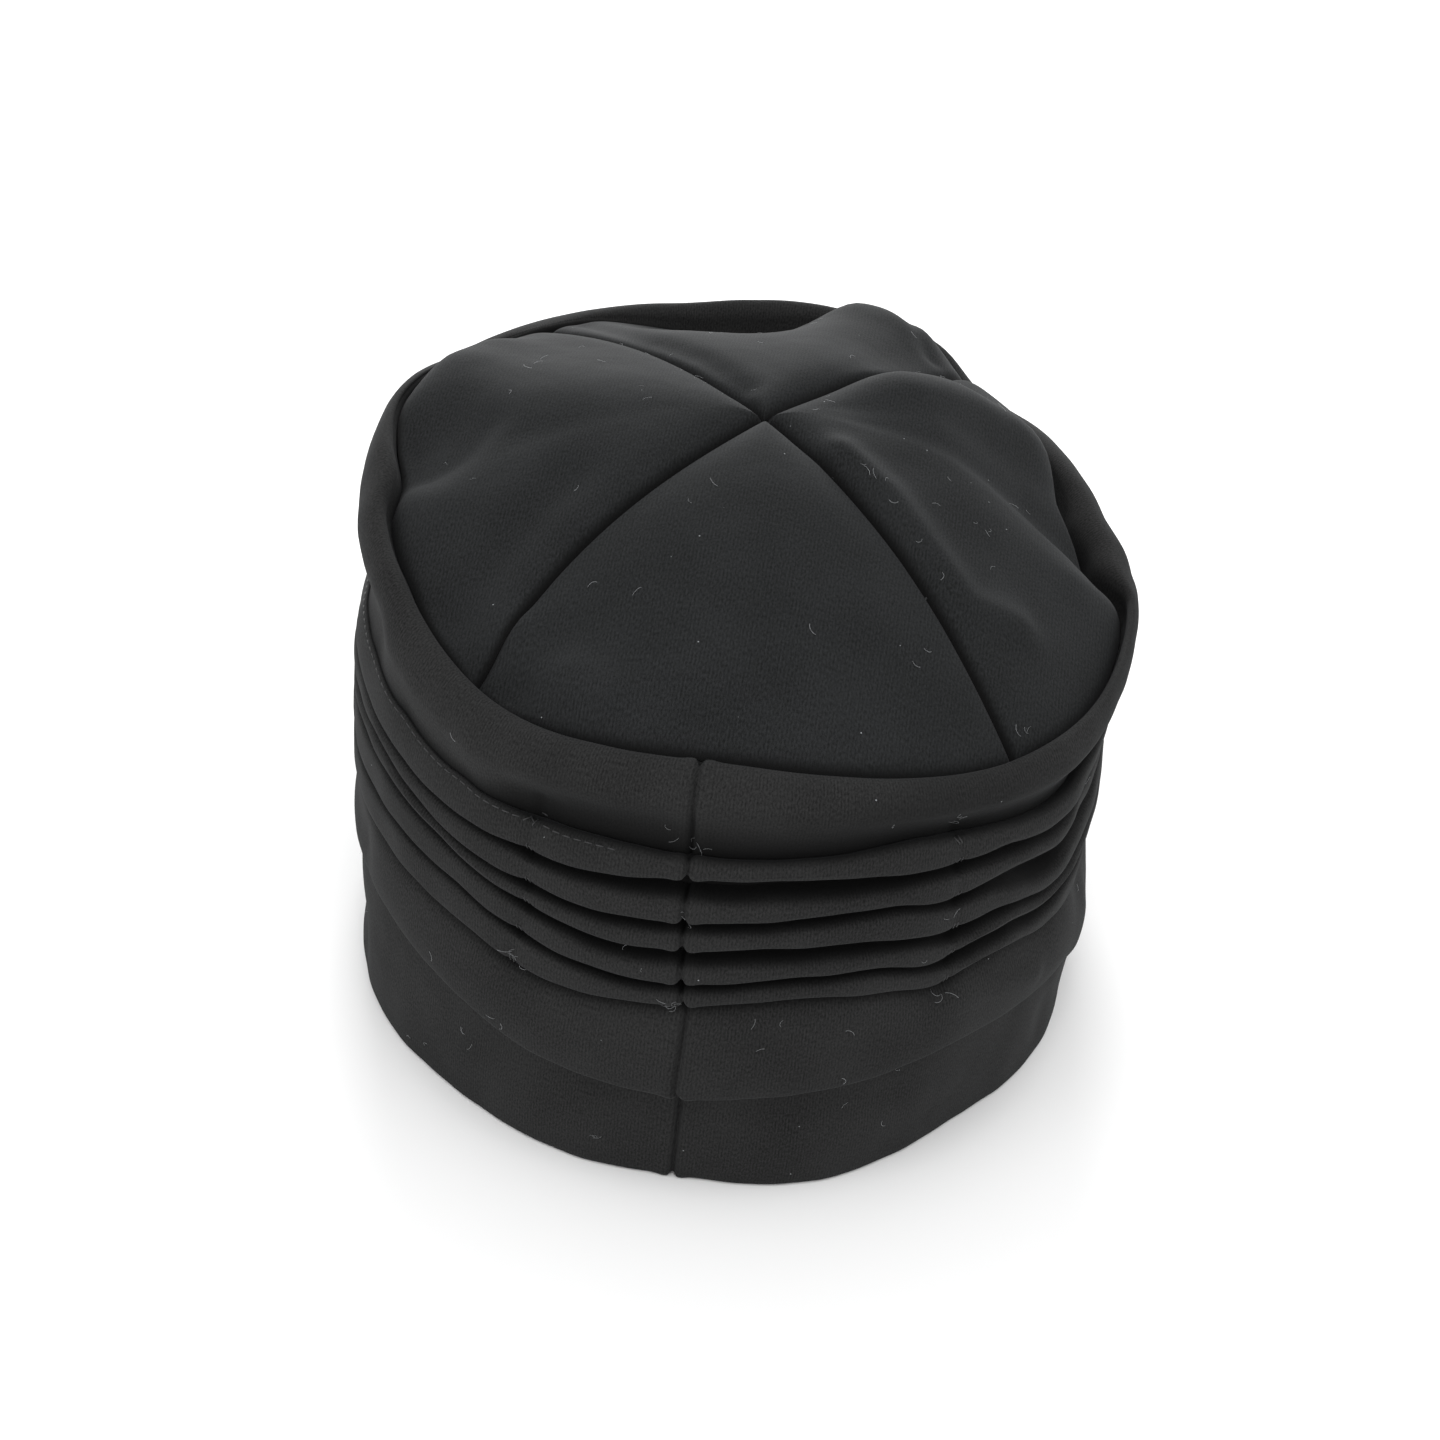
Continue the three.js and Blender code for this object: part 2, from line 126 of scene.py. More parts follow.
# Where the cloth under a pleat's lower edge falls away: (angle, degrees wide, depth).
GAPES = {
    "pleat_5": [(82, 10, 1.2), (106, 11, 1.2), (131, 3, 1.2), (141, 9, 0.5)],
    "pleat_4": [(82, 9, 1.1), (108, 12, 1.1), (132.5, 3.5, 1.8), (143, 9, 2.4)],
    "pleat_3": [(80, 8, 1.6), (97, 9, 2.2), (114, 9, 1.8), (134, 6, 2.2), (152, 9, 1.2)],
    "pleat_2": [(80, 9, 1.2), (104, 12, 1.6), (144, 9, 5), (160, 6, 1.5)],
    "pleat_1": [(76, 8, 1.4), (91, 7, 2.6), (104, 8, 2.5), (116, 8, 1.6), (133, 4, 1.8),
                (146, 7, 1.6)],
}
GAPE_REST = 0.6  # how far it falls away everywhere else
SHADOW_GAP = 1.0  # least height of the dark gap under a pleat
GAPE_TALL = 1.25  # how fast that height grows with the depth
PLEAT_LEAST = 2.6  # a pleat's face shows at least this tall

# Long dents (+) and swells (-) of the side wall: from one (angle, height) to another, how
# wide and how deep.
SIDE_FORMS = [
    ((8, 41), (30, 42), 5, 1.6),  # skirt hollow, left
    ((4, 96), (30, 98), 5.5, 2.4),  # above the top pleat, left
    ((2, 87), (14, 87), 4, 0.8),
    ((44, 90), (56, 87.5), 3, 0.7),
    ((58, 95), (70, 97), 3.5, -0.5),
    ((66, 91), (88, 93), 3.5, 0.8),  # hollow left of the seam
    ((203, 92), (209, 88), 6, 2.4),  # pulled in, right front
    ((190, 94), (200, 96), 3, 0.9),
    ((158, 75), (188, 75), 7, 2),  # waist of the right side
    ((168, 40), (192, 38), 7, 3),
    ((175, 30), (188, 27), 4.5, 1.4),
    ((163, 24), (171, 21), 4, -1.2),
    ((158, 12), (172, 7), 5.5, 1.4),
    ((2, 6), (24, 10), 6, 2.2),  # foot of the hem, left
    ((128, 48), (146, 39), 2.2, -0.7),  # ridge off the right tack
    ((134, 50), (150, 44), 3, 0.7),
    ((98, 38), (118, 40), 5, 0.4),
    ((64, 40), (78, 37), 5, -0.4),
    ((100, 22), (122, 22), 4, 0.5),  # under the turned fold
    ((56, 22), (74, 18), 5, 0.4),
]

# The centre back seam and the tacks: (height, angle) pairs from the hem up.
BACK_SEAM = [(0, 91.6), (26, 91.5), (28, 90.7), (49, 91.1), (52, 90.4), (58, 90), (72, 89.6),
             (88, 89.4), (105, 89.1)]
TACKS = [  # left and right
    [(48, 67), (52, 67.4), (58, 67.9), (63, 68.8), (70, 68.6), (80, 68.5), (90, 68.7)],
    [(47, 127), (58, 127.3), (65, 127), (73, 126.4), (81, 125.8), (92, 124.6)],
]
GROOVE_DEPTH = 1.0  # of the centre back seam
GROOVE_WIDE = 0.38
GROOVE_LIP = 0.28  # the cloth swells a little at each side of the groove
GROOVE_LIP_AWAY = 1.7
GROOVE_LIP_WIDE = 0.9
TACK_MIDDLE = 69  # height of the middle of a tack
TACK_HALF = 20  # how far a tack pulls, up and down from there
TACK_FADE = 1.5
TACK_DENTS = [(0.35, 0.8), (0.45, 3.5)]  # depth and width: a narrow dent within a broad one

# ---- The bands ----
HEM_BEHIND_FOLD = 8  # how far the hem band goes up behind the turned fold
HEM_FOLD_GAP = 1.3  # between the two
LAP_LOOSE_MIDDLE = 138  # angle of the middle of the arc where the top pleat stands proud
LAP_LOOSE_HALF = 66
LAP_FADE = 6
LAP_SEWN = 0.3  # how far it stands proud where it is topstitched
LAP_LOOSE = 2.3  # and how much more where it is not
LIP_DARK = 1.2  # height of the painted shade line above the lip where the lip lies flat
LIP_DARK_LOOSE = 4.2  # and what each millimetre that the lip stands proud adds to it

# ---- The tip ----
APEX = Vector((2.4, 2.1, 132))
APEX_HOLE = 0.004  # a panel stops at this share of its length from the apex
PUFF = 2.6  # broad swell of a panel between its seams
SEAM_ROLL = 0.95  # how fast the cloth turns down into a seam
SEAM_DEPTH = 2.2
RIM_DEPTH = 1.3  # the same at the tip seam
SEAM_SINK = 0.8  # softer pull beside the seam
SEAM_SINK_WIDE = 4
SEAM_OVERLAP = 0.08  # how far two panels press into each other at their seam
PANEL_LENGTH = 80  # from the apex to the tip seam
SEAM_DARK = 0.7  # half width of the painted shade line in a seam
ALLOWANCE = 3.5  # seam allowance, turned down inside
EDGE_FADE = 2  # over this much next to the tip seam the forms of the tip die out

# Hollows (-) and ridges (+) of the tip: through points of the plan (x, y), how wide and
# how high.
TIP_FORMS = [
    ([(77, 10), (70, 8)], 7, -3.8),  # hollow, left panel
    ([(74, -23), (71, -34)], 8, 3.5),  # swell over the rim, left front
    ([(80, -3), (76, -12)], 7, 0.7),
    ([(79, 21), (70, 21), (64, 16), (60, 8)], 2.4, -1.2),  # crease
    ([(75, 30), (68, 33)], 5.5, 2.8),  # lobe behind the crease
    ([(60, 57), (52, 67)], 4.5, -1.6),  # by the left rear seam
    ([(55, 56), (49, 43), (40, 29)], 4, -2),
    ([(41, 75), (36, 68)], 4, -2.4),  # dent, back panel
    ([(42, 62), (33, 72), (22, 79)], 3.2, 2.3),
    ([(31, 57), (25, 68)], 6, 0.6),
    ([(-15, 12), (-26, 20), (-35, 29), (-46, 38), (-57, 34)], 3.4, 2.1),
    ([(-30, 9), (-43, 19), (-58, 20)], 6, -0.6),  # right panel
    ([(-82, -9), (-74, -7)], 2.6, -3.6),  # tuck, right panel
    ([(-78, 2), (-72, 6)], 6, 3),  # lobe behind the tuck
    ([(-46, -40), (-30, -24)], 10, 3.2),  # along the right front seam
    ([(-58, -34), (-47, -30), (-34, -18)], 13, 4.4),  # its far half
    ([(-24, -5), (-44, -8), (-66, -12)], 9, -2.2),
    ([(-13, -78), (-26, -74)], 8, 6.5),  # hump, front panel
    ([(-66, -34), (-60, -44)], 11, 3.7),  # right panel, over the rim
    ([(-54, -54), (-46, -47)], 7, -3.4),  # dip beside the right front seam
    ([(-10, -62), (-24, -60)], 9, 2),
    ([(30, -66), (10, -70)], 11, -3),
    ([(-50, -60), (-44, -62)], 8, 3.2),  # swell over the rim, right front
    ([(-22, -80), (-31, -62)], 2, -1.1),
    ([(54, -66), (34, -38), (19, -23), (8, -8)], 2.2, -1.1),
]
# The seams of the tip, left rear, right rear, right front and left front: the angle where
# each meets the tip seam, and how many degrees it bows on its way up. A panel lies between
# each and the next.
TIP_SEAMS = [(52.4, -3.2), (137.2, 1), (238, -4), (319, -1)]
TIP_PANELS = ["back", "right", "front", "left"]
TIP_WALL = 1.0  # single jersey with its backing
PANEL_COLUMNS = 84
PANEL_ROWS = 84

# ---- Threads and lint ----
THREAD = 0.28  # thick enough to show
STITCH = 1.5
STITCH_STEP = 2.3
STITCH_BELOW = 0.6  # under the lip's upper edge
TOPSTITCHED = (210, 443)  # round the front to just short of the centre back
TACK_STITCH = 1.6
STITCH_END = 0.45  # the ends start at this share of a stitch from its middle
STITCH_TURN = (0.2, 0.25)  # how far an end goes on along the stitch and down
STITCH_TAPER = 0.5
TACK_BESIDE = (-0.3, 0.25)  # degrees from the line of the tack to its two stitches
TACK_UP = Vector((0.08, 0, 1))
TACK_ABOVE = 0.2  # from a pleat's lower edge to the end of its stitches
FIBRE_LEAN = 0.35
FIBRE_LIFT = 0.12
FIBRE_SIZES = (0.6, 1.25)
CLUSTER = 1.1  # fibres of one spot lie within this of its middle, each way
LINT_SCATTERED = 110
WALL_SHARE = 0.62  # of the scattered lint, which lies within these heights and this radius
WALL_HEIGHTS = (4, 96)
TIP_RADIUS = 72
RAY_REACH = 150  # rays towards the wall start this far out
RAY_HEIGHT = 200  # and those down to the tip this far up
# Spots on the cloth: ("wall", angle, height) or ("tip", x, y), and how many fibres lie there.
THREAD_ENDS = [  # frayed ends of sewing thread
    ("wall", 89.8, 51.1, 7), ("wall", 89.6, 88.8, 5), ("wall", 86.8, 90, 2),
    ("wall", 124.2, 92.6, 4), ("wall", 118, 66, 2), ("wall", 67.2, 51, 4), ("wall", 90.4, 72.4, 3),
    ("wall", 126.9, 46.9, 3), ("wall", 126, 70, 2),
]
LINT = [
    ("wall", 82.3, 64.3, 2), ("wall", 69.6, 49.2, 1), ("wall", 99.7, 49.3, 1),
    ("wall", 66, 32.6, 2), ("wall", 81.8, 9.2, 2), ("wall", 58.1, 17.9, 2), ("wall", 49.9, 6.6, 1),
    ("wall", 112, 45.8, 1), ("wall", 154.5, 79.4, 1), ("tip", -39, 35, 1), ("tip", -60, 56, 3),
    ("tip", -21, 16, 2), ("tip", -24, 19, 2), ("tip", -28, 23, 1), ("tip", -16, 63, 1),
    ("tip", 40, -41, 1), ("tip", -13, -34, 1), ("tip", 58, -1, 1), ("tip", -48, 12, 1),
]
# Bend radius, thickness and degrees of each shape of fibre.
FIBRES = [(1.4, 0.045, 100), (0.8, 0.045, 150), (2.6, 0.04, 55)]
LONGER_FIBRES = [(1.6, 0.055, 120), (3, 0.055, 50), (1.1, 0.05, 150)]


# ---- Curves ----
def column_angles():
    """The angles of the columns, closest at the centre back seam."""
    angles = []
    angle = 0.0
    while angle < 360 - BACK_STEP / 2:
        angles.append(angle)
        in_front = FRONT_ARC[0] < angle < FRONT_ARC[1]
        beside = max(SEAM_ARC[0] - angle, angle - SEAM_ARC[1], 0)
        angle += min(FRONT_STEP if in_front else BACK_STEP, SEAM_STEP + beside * STEP_GROWTH)
    return np.array(angles)


COLUMNS = column_angles()


def hermite(knots, values, places):
    """A smooth curve through values at the knots, read at each place."""
    slopes = np.gradient(values, knots, axis=0)
    first = np.clip(np.searchsorted(knots, places, side="right") - 1, 0, len(knots) - 2)
    width = knots[first + 1] - knots[first]
    along = (places - knots[first]) / width
    if values.ndim > 1:
        along, width = along[:, None, None], width[:, None, None]
    square, cube = along ** 2, along ** 3
    return ((2 * cube - 3 * square + 1) * values[first]
            + (cube - 2 * square + along) * width * slopes[first]
            + (3 * square - 2 * cube) * values[first + 1]
            + (cube - square) * width * slopes[first + 1])


def closed_curve(pairs, angles):
    """The closed curve through (angle, value) pairs, at each of the angles."""
    knots = np.array([angle for angle, _ in pairs], float)
    values = np.array([value for _, value in pairs], float)
    knots = np.concatenate([knots - 360, knots, knots + 360])
    return hermite(knots, np.tile(values, 3), np.mod(angles, 360))


def reach_at(course, angles=COLUMNS):
    return closed_curve(REACHES[course], angles)


def height_at(course, angles=COLUMNS):
    return closed_curve(LEVELS[course], angles)


def turn_between(angles, other):
    """The shorter way round from one angle to another, in degrees."""
    return np.mod(angles - other + 540, 360) - 180


def mix(start, end, share):
    return start + (end - start) * share


def bell(distance, spread):
    return np.exp(-((distance / spread) ** 2) / 2)


def near_line(across, up, start, end, wide):
    """1 on the line from start to end, falling off softly over the width round it."""
    run = np.array(end, float) - start
    square = max(float(run @ run), 1e-9)
    share = np.clip(((across - start[0]) * run[0] + (up - start[1]) * run[1]) / square, 0, 1)
    gap = np.hypot(across - start[0] - share * run[0], up - start[1] - share * run[1])
    return bell(gap, wide)


def waver(size, seed, angles=COLUMNS):
    """A small uneven wave round the cap, as soft cloth has. The seed shifts it along."""
    turns = np.radians(angles)
    return size * (np.sin(17 * turns + seed) + 0.7 * np.sin(31 * turns + 2.3 * seed)
                   + 0.5 * np.sin(53 * turns + 4.1 * seed)) / 1.6


def lip_height(angles=COLUMNS):
    """The upper edge of the top pleat."""
    return height_at("pleat_top", angles) + waver(0.12, 9, angles)


# ---- Side wall forms ----
def side_dent(angles, heights):
    """How far the wall is pushed in at each angle and height."""
    total = np.zeros_like(angles)
    for (angle, start_height), (end_angle, end_height), wide, depth in SIDE_FORMS:
        arc = turn_between(angles, angle) * ARC_PER_DEGREE
        end = ((end_angle - angle) * ARC_PER_DEGREE, end_height)
        total += depth * near_line(arc, heights, (0, start_height), end, wide)
    return total


def line_angle(line, heights):
    """The angle of a sewn line at each height."""
    return np.interp(heights, [height for height, _ in line], [angle for _, angle in line])


def seam_pull(angles, heights):
    """The groove of the centre back seam and the soft pull of the tacks."""
    away = turn_between(angles, line_angle(BACK_SEAM, heights)) * ARC_PER_DEGREE
    pull = GROOVE_DEPTH * bell(away, GROOVE_WIDE)
    pull = pull - GROOVE_LIP * bell(np.abs(away) - GROOVE_LIP_AWAY, GROOVE_LIP_WIDE)
    within = bell(np.clip(np.abs(heights - TACK_MIDDLE) - TACK_HALF, 0, None), TACK_FADE)
    for line in TACKS:
        away = turn_between(angles, line_angle(line, heights)) * ARC_PER_DEGREE
        pull = pull + within * sum(depth * bell(away, wide) for depth, wide in TACK_DENTS)
    return pull


def plan_points(reach, ratio, angles):
    """Points of the plan outline, a rounded ellipse."""
    power = 2 / PLAN_POWER
    across, back = np.cos(np.radians(angles)), np.sin(np.radians(angles))
    return (reach * np.sign(across) * np.abs(across) ** power,
            reach * ratio * np.sign(back) * np.abs(back) ** power)


# ---- Meshes ----
def linked_object(name, data):
    """A new object in the scene."""
    thing = bpy.data.objects.new(name, data)
    bpy.context.scene.collection.objects.link(thing)
    return thing


def deselect_all():
    bpy.ops.object.select_all(action="DESELECT")


def smooth_rows(rows, finest=0.9, most=7):
    """Runs a smooth surface through rows of (reach, height, ratio) round the cap. Between
    two rows it puts others about as far apart as finest, and at most that many parts."""
    rows = np.array(rows)
    step = np.hypot(np.diff(rows[:, 0], axis=0), np.diff(rows[:, 1], axis=0)).mean(axis=1)
    knots = np.concatenate([[0], np.cumsum(np.sqrt(step))])
    places = []
    for index, length in enumerate(step):
        parts = int(np.clip(round(length / finest), 2, most))
        places.extend(np.linspace(knots[index], knots[index + 1], parts, endpoint=False))
    places.append(knots[-1])
    return hermite(knots, rows, np.array(places))


def row(reach, height, ratio=DEPTH_RATIO):
    """One row of a section: its reach, height and plan ratio at every column."""
    return [np.broadcast_to(np.asarray(value, float), COLUMNS.shape)
            for value in (reach, height, ratio)]


def pushed_in(face):
    """The rows of an outer face, dented and with the seams pulled in along its normals."""
    across, up = np.gradient(face[:, 0], axis=0), np.gradient(face[:, 1], axis=0)
    length = np.maximum(np.hypot(across, up), 1e-9)
    for line, out, rise in zip(face, up / length, -across / length):
        pull = seam_pull(COLUMNS, line[1])
        line[0] -= side_dent(COLUMNS, line[1]) + pull * out
        line[1] -= pull * rise
    return face


def swept_mesh(name, outside, inside, painted_shade):
    """A closed wall swept round the cap, up its outside rows and down its inside rows.
    The shade function gives each outer row of (reach, height) its painted shade, 0 to 1,
    by how far inside a fold or seam it lies; the inside rows get full painted shade."""
    inner = smooth_rows(inside, finest=3, most=3)
    for line in inner:
        line[0] -= side_dent(COLUMNS, line[1])
    outer = smooth_rows(outside)
    # Painted shade for each outer row, and full painted shade on the inside rows.
    shades = [painted_shade(line[0], line[1]) for line in outer] + [np.ones(len(COLUMNS))] * len(inner)
    wall = np.concatenate([pushed_in(outer), inner])
    grid = np.empty((len(wall), len(COLUMNS), 3))
    for index, (reach, height, ratio) in enumerate(wall):
        across, back = plan_points(reach, ratio, COLUMNS)
        grid[index] = np.stack([across, back, height], axis=1)
    thing = grid_mesh(name, grid, closed=True)
    set_painted_shade(thing, np.array(shades))
    return thing


def set_painted_shade(thing, values):
    """Stores at each point its painted shade, 0 to 1: how far inside a fold or seam it lies."""
    layer = thing.data.attributes.new("painted_shade", "FLOAT", "POINT")
    layer.data.foreach_set("value", values.astype(np.float32).ravel())


def wall_map(grid):
    """The cloth map of a closed wall: metres round the cap and up its section. The last row
    and column come again at the end, for the faces that close the wall."""
    rows, columns = grid.shape[:2]
    across = np.concatenate([COLUMNS, [360]]) / 360 * ROUND_LENGTH
    across = np.broadcast_to(across, (rows + 1, columns + 1))
    lengths = np.linalg.norm(np.diff(grid, axis=0), axis=2)
    lengths = np.concatenate([np.zeros((1, columns)), np.cumsum(lengths, axis=0)]) * MM
    lengths = np.concatenate([lengths, lengths[-1:] + CLOSING_ROW])
    return across, np.concatenate([lengths, lengths[:, :1]], axis=1)


def grid_mesh(name, grid, closed):
    """A mesh of quads over a grid of points. A closed grid joins up both ways. The map of
    an open one, a tip panel, is its plan in metres, since all four panels are cut with the
    knit running from front to back."""
    rows, columns = grid.shape[:2]
    row_ends, column_ends = (rows, columns) if closed else (rows - 1, columns - 1)
    down, along = np.meshgrid(np.arange(row_ends), np.arange(column_ends), indexing="ij")
    down, along = down.ravel(), along.ravel()
    below, beyond = (down + 1) % rows, (along + 1) % columns
    faces = np.stack([down * columns + along, down * columns + beyond,
                      below * columns + beyond, below * columns + along], axis=1)
    across, lengths = wall_map(grid) if closed else (grid[..., 0] * MM, grid[..., 1] * MM)
    corners = [(down, along), (down, along + 1), (down + 1, along + 1), (down + 1, along)]
    places = np.stack([np.stack([across[r, c], lengths[r, c]], axis=1) for r, c in corners],
                      axis=1)
    return new_mesh(name, grid.reshape(-1, 3), faces, places.reshape(-1, 2))


def new_mesh(name, points, faces, places):
    """An object from points in millimetres, faces and, for each face corner, its place on
    the cloth in metres."""
    mesh = bpy.data.meshes.new(name)
    mesh.from_pydata((points * MM).tolist(), [], faces.tolist())
    layer = mesh.uv_layers.new(name="cloth")
    layer.data.foreach_set("uv", places.astype(np.float32).ravel())
    mesh.shade_smooth()
    return linked_object(name, mesh)


# ---- Side pieces ----
# The numbers in the rows are a section's own shape: how far out and up the cloth goes, from
# the lower edge of the outer face over the top and down inside.
def hem_band():
    """A plain doubled strip with a turned lower edge, going up behind the fold."""
    fold = height_at("fold")
    top = fold + HEM_BEHIND_FOLD
    hem = reach_at("hem") + waver(0.12, 1)
    tucked = reach_at("fold") - CLOTH - HEM_FOLD_GAP
    outside = [
        row(hem - 1.5, 0.55), row(hem - 1.1, 0.25), row(hem - 0.5, 0.2), row(hem - 0.1, 0.6),
        row(hem + 0.1, 1.6), row(hem + 0.7, top * 0.3), row(mix(hem, tucked, 0.4) + 0.5, top * 0.5),
        row(tucked, top - 10), row(tucked, top - 1), row(tucked - 0.6, top),
    ]
    inside = [
        row(tucked - 1.3, top), row(tucked - CLOTH - 0.3, top - 1), row(hem - 1.6, top * 0.35),
        row(hem - 2.2, 1.6), row(hem - 2.0, 0.4),
    ]
    # Painted shade on the hem band where it goes up behind the turned fold.
    return swept_mesh("hem_band_jersey", outside, inside,
                      lambda reach, height: np.clip((height - fold + 0.5) / 1.5, 0, 1))


def gape_under(pleat):
    """How far the cloth falls away under a pleat's lower edge."""
    total = np.full(COLUMNS.shape, GAPE_REST)
    for angle, wide, depth in GAPES[pleat]:
        total = total + depth * bell(turn_between(COLUMNS, angle), wide)
    return total


def pleat_rows(reach, low, high, under, above):
    """One pleat: out of the dip, round its turned edge, up its face, over its rounded
    top and behind the next pleat."""
    gap = SHADOW_GAP + GAPE_TALL * (above - GAPE_REST)
    shoulder = np.maximum(high - gap, low + PLEAT_LEAST)
    gap = high - shoulder
    return fold_rows(reach, low, under) + [
        row(reach + 0.45, mix(low + 1.5, shoulder - 1.1, 0.5)),
        row(reach + 0.25, shoulder - 0.6),
        row(reach - 0.3, shoulder - 0.05),
        row(reach - 1.5 - 0.4 * above, shoulder + 0.08 * gap),
        row(reach - 2.5 - 1.05 * above, shoulder + 0.22 * gap),
        row(reach - 3.0 - 1.15 * above, high + 0.2),
        row(reach - 3.3 - above, high + 2.1),
    ]


def fold_rows(reach, low, under):
    """The turned lower edge of a pleat, from the dip behind it round to its face."""
    return [
        row(reach - 2.0 - 0.2 * under, low + 1.4),
        row(reach - 1.35, low + 0.3),
        row(reach - 0.7, low),
        row(reach - 0.05, low + 0.4),
        row(reach + 0.35, low + 1.4),
    ]


def skirt_rows(fold_reach, reach, fold, low, gape):
    """The turned fold and the smooth skirt, up to where it goes in behind the lowest pleat."""
    skirt = low - fold
    return [
        row(fold_reach - 1.6, fold + 1.4), row(fold_reach - 1.1, fold + 0.2),
        row(fold_reach - 0.5, fold), row(fold_reach, fold + 0.5),
        row(fold_reach + 0.35, fold + 1.6), row(fold_reach + 0.75, fold + skirt * 0.32),
        row(mix(fold_reach, reach, 0.4) + 0.5, fold + skirt * 0.62),
        row(reach - 0.3 - 0.3 * gape, low - 2.4), row(reach - 1.7 - 0.9 * gape, low - 0.4),
        row(reach - 2.4 - 0.9 * gape, low + 1), row(reach - 3 - 0.9 * gape, low + 2.1),
    ]


def top_pleat_rows(reach, low, top, under, step):
    """The uppermost pleat: round its turned edge, up its face and over its lip."""
    rise = top - low
    return fold_rows(reach, low, under) + [
        row(reach + 0.4, low + rise * 0.45), row(reach + 0.05, top - 1.6),
        row(reach - 0.25 - 0.1 * step, top - 0.45), row(reach - 0.5 - 0.45 * step, top),
        row(reach - 0.8 - 0.6 * step, top - 0.15),
    ]


def inside_pleats(fold_reach, reach, fold, levels, gapes, step):
    """The inner face of the pleated band, from its lip down past each pleat to the fold."""
    skirt = levels[0] - fold
    rows = [row(reach - 2.2 - 0.6 * step, levels[-1] - 1.2)]
    for gape, low, upper in reversed(list(zip(gapes, levels, levels[1:]))):
        rows.append(row(reach - 3.8 - 0.4 * gape, mix(low, upper, 0.6)))
        rows.append(row(reach - 4.8 - 1.3 * gape, low + 1.2))
    return rows + [
        row(mix(fold_reach, reach, 0.5) - CLOTH - 0.5, fold + skirt * 0.6),
        row(fold_reach - CLOTH, fold + skirt * 0.32), row(fold_reach - CLOTH - 0.2, fold + 2.6),
    ]


def pleated_band():
    """The turned fold, the smooth skirt and five pleats that lie one over the next."""
    fold = height_at("fold") + waver(0.15, 2)
    fold_reach = reach_at("fold")
    reach = reach_at("pleats")
    lows = [height_at(name) + waver(0.16, 3 + index) for index, name in enumerate(PLEATS)]
    top = lip_height()
    gapes = [gape_under(name) for name in PLEATS]
    step = lap_step()
    outside = skirt_rows(fold_reach, reach, fold, lows[0], gapes[0])
    for index, low in enumerate(lows[:-1]):
        swell = reach + waver(0.12, 12 + index)
        outside += pleat_rows(swell, low, lows[index + 1], gapes[index], gapes[index + 1])
    outside += top_pleat_rows(reach, lows[-1], top, gapes[-1], step)
    inside = inside_pleats(fold_reach, reach, fold, lows + [top], gapes, step)

    # Painted shade in the dips and gaps behind the pleats' outline, above the skirt.
    def painted_shade_behind_pleats(outline, height):
        return np.clip((reach - 0.25 - outline) / 1.9, 0, 1) * np.clip(height - lows[0] + 2, 0, 1)

    return swept_mesh("pleated_band_jersey", outside, inside, painted_shade_behind_pleats)


def lap_step():
    """How far the top pleat stands proud of the crown band: least where it is topstitched."""
    away = np.abs(turn_between(COLUMNS, LAP_LOOSE_MIDDLE))
    return LAP_SEWN + LAP_LOOSE * bell(np.clip(away - LAP_LOOSE_HALF, 0, None), LAP_FADE)


def crown_outside(tucked, bulge, tip, lap, rim, seam):
    """The outer face of the crown band. Its plan goes from the band's ratio to the rounder
    one of the tip seam on the way."""
    tall = rim - lap
    return [
        row(tucked - 0.4, lap - 2.6), row(tucked - 0.1, lap - 1), row(tucked, lap + 0.8),
        row(mix(tucked, bulge, 0.14), lap + tall * 0.2),
        row(mix(tucked, bulge, 0.55), lap + tall * 0.4),
        row(mix(tucked, bulge, 0.94), lap + tall * 0.6),
        row(mix(bulge, tip, 0.08), lap + tall * 0.77, 1.166),
        row(mix(bulge, tip, 0.32), rim - tall * 0.07, 1.158),
        row(mix(bulge, tip, 0.6), rim, 1.147),
        row(mix(bulge, tip, 0.84), mix(rim, seam, 0.3), 1.137),
        row(tip + 1.1, mix(rim, seam, 0.72), 1.132),
        row(tip + 0.45, seam - 0.2, TIP_DEPTH_RATIO), row(tip + 0.12, seam - 1.6, TIP_DEPTH_RATIO),
        row(tip + 0.1, seam - ALLOWANCE, TIP_DEPTH_RATIO),
    ]


def crown_inside(tucked, bulge, tip, lap, rim, seam):
    """The inner face of the crown band, from the seam allowance down."""
    tall = rim - lap
    return [
        row(tip + 0.8, seam - ALLOWANCE, TIP_DEPTH_RATIO),
        row(mix(bulge, tip, 0.66), mix(rim, seam, 0.6) - CLOTH, 1.145),
        row(mix(bulge, tip, 0.4) - 0.6, rim - tall * 0.18 - 0.8, 1.158),
        row(bulge - CLOTH, lap + tall * 0.58),
        row(mix(tucked, bulge, 0.3) - CLOTH, lap + tall * 0.26),
        row(tucked - CLOTH, lap - 0.6), row(tucked - CLOTH, lap - 2.6),
    ]


def crown_band():
    """Out of the top pleat into a bulge, up over a soft rim and down to the tip seam."""
    lap, rim, seam = height_at("pleat_top"), height_at("rim"), height_at("tip_seam")
    bulge = reach_at("bulge") + waver(0.12, 21)
    tip = reach_at("tip_seam")
    step = lap_step()
    section = (reach_at("pleats") - 0.75 - step, bulge, tip, lap, rim, seam)

    # Painted shade just above the top pleat's lip, taller where the lip stands proud, and down into
    # the tip seam.
    def painted_shade_by_lip_or_seam(outline, height):
        lip = np.clip(1 - (height - lap - 0.4) / (LIP_DARK + LIP_DARK_LOOSE * step), 0, 1)
        sewn = np.clip(1.4 - (outline - tip) / 0.7, 0, 1) * (height > mix(lap, rim, 0.5))
        return np.maximum(lip, sewn)

    return swept_mesh("crown_band_jersey", crown_outside(*section), crown_inside(*section),
                      painted_shade_by_lip_or_seam)


